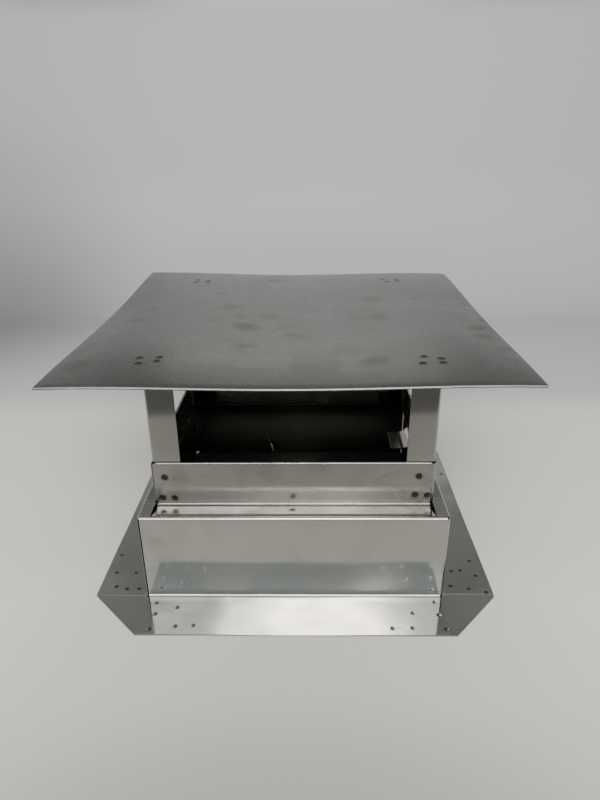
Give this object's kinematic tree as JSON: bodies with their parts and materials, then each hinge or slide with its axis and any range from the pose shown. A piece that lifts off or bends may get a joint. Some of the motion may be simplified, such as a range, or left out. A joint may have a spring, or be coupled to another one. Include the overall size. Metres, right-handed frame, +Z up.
{
  "type": "ventilation cowl",
  "caption": "Square stainless sheet-metal ventilation cowl: flat hemmed cap on angle posts in a low collar, on a box base with a flat roof flange.",
  "frame": {"origin": "centre of the square footprint, at the underside of the flange corners, where the cowl rests on the roof", "axes": "+Z up towards the cap, -Y the front with the deeper ledge and the left-hand seam, +X to the right seen from the front"},
  "size_m": [0.404, 0.404, 0.256],
  "materials": {
    "cap_sheet": "satin mill-finish stainless sheet with smudges and heat-tinted spot weld marks",
    "post_sheet": "satin mill-finish stainless sheet",
    "collar_sheet": "satin mill-finish stainless sheet with smudges and heat-tinted spot weld marks",
    "base_sheet": "smooth mill-finish stainless sheet with soft reflections and small spot weld dimples",
    "gusset_sheet": "satin mill-finish stainless sheet",
    "fitting_steel": "bright stainless strip and wire"
  },
  "bodies": {
    "root": {"cap": "cap_sheet", "post_front_left": "post_sheet", "post_front_right": "post_sheet", "post_back_left": "post_sheet", "post_back_right": "post_sheet", "collar_front_right": "collar_sheet", "collar_back_left": "collar_sheet", "base_front_right": "base_sheet", "base_back_left": "base_sheet", "gusset_front_left": "gusset_sheet", "gusset_front_right": "gusset_sheet", "gusset_back_left": "gusset_sheet", "gusset_back_right": "gusset_sheet", "inner_clip": "fitting_steel", "inner_hook": "fitting_steel"}
  },
  "joints": []
}
